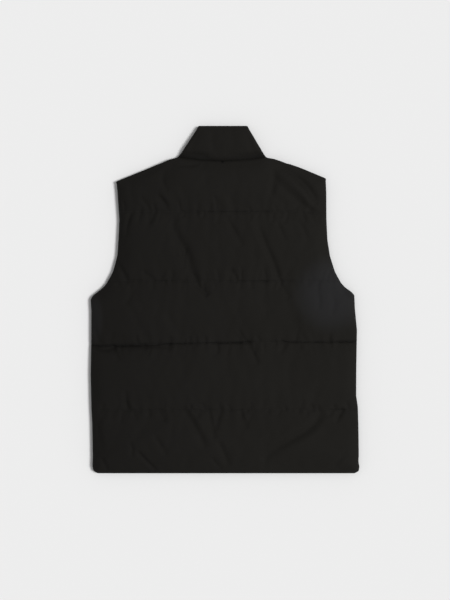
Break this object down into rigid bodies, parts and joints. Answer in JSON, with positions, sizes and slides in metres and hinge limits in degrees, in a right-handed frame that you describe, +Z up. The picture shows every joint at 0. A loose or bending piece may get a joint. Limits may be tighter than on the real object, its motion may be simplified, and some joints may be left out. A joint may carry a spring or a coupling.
{
  "type": "puffer vest",
  "caption": "Sleeveless padded vest with a stand-up collar and quilting across it, zip closed, lying flat on its front with its back uppermost.",
  "frame": {"origin": "on the surface that the vest lies on, under the middle of its outline", "axes": "+Y from hem to collar, +X towards the wearer's right, +Z up from the surface, through the fronts to the back"},
  "size_m": [0.5629, 0.728, 0.0244],
  "materials": {
    "shell_cloth": "matt black plain-weave cloth over light padding",
    "zip_tape": "matt black woven tape",
    "zip_metal": "satin black coating"
  },
  "bodies": {
    "vest": {"back": "shell_cloth", "front_left": "shell_cloth", "front_right": "shell_cloth", "collar": "shell_cloth", "zip_tape_left": "zip_tape", "zip_tape_right": "zip_tape", "zip_box": "zip_metal", "zip_slider": "zip_metal"},
    "pull_tab": {"zip_pull": "zip_metal"}
  },
  "joints": [
    {"name": "pull_tab_hinge", "type": "hinge", "parent": "vest", "child": "pull_tab", "pos_m": [-0.00508, 0.2809, 0.0036], "axis": [1, 0, 0], "range_deg": [0, 175]}
  ]
}
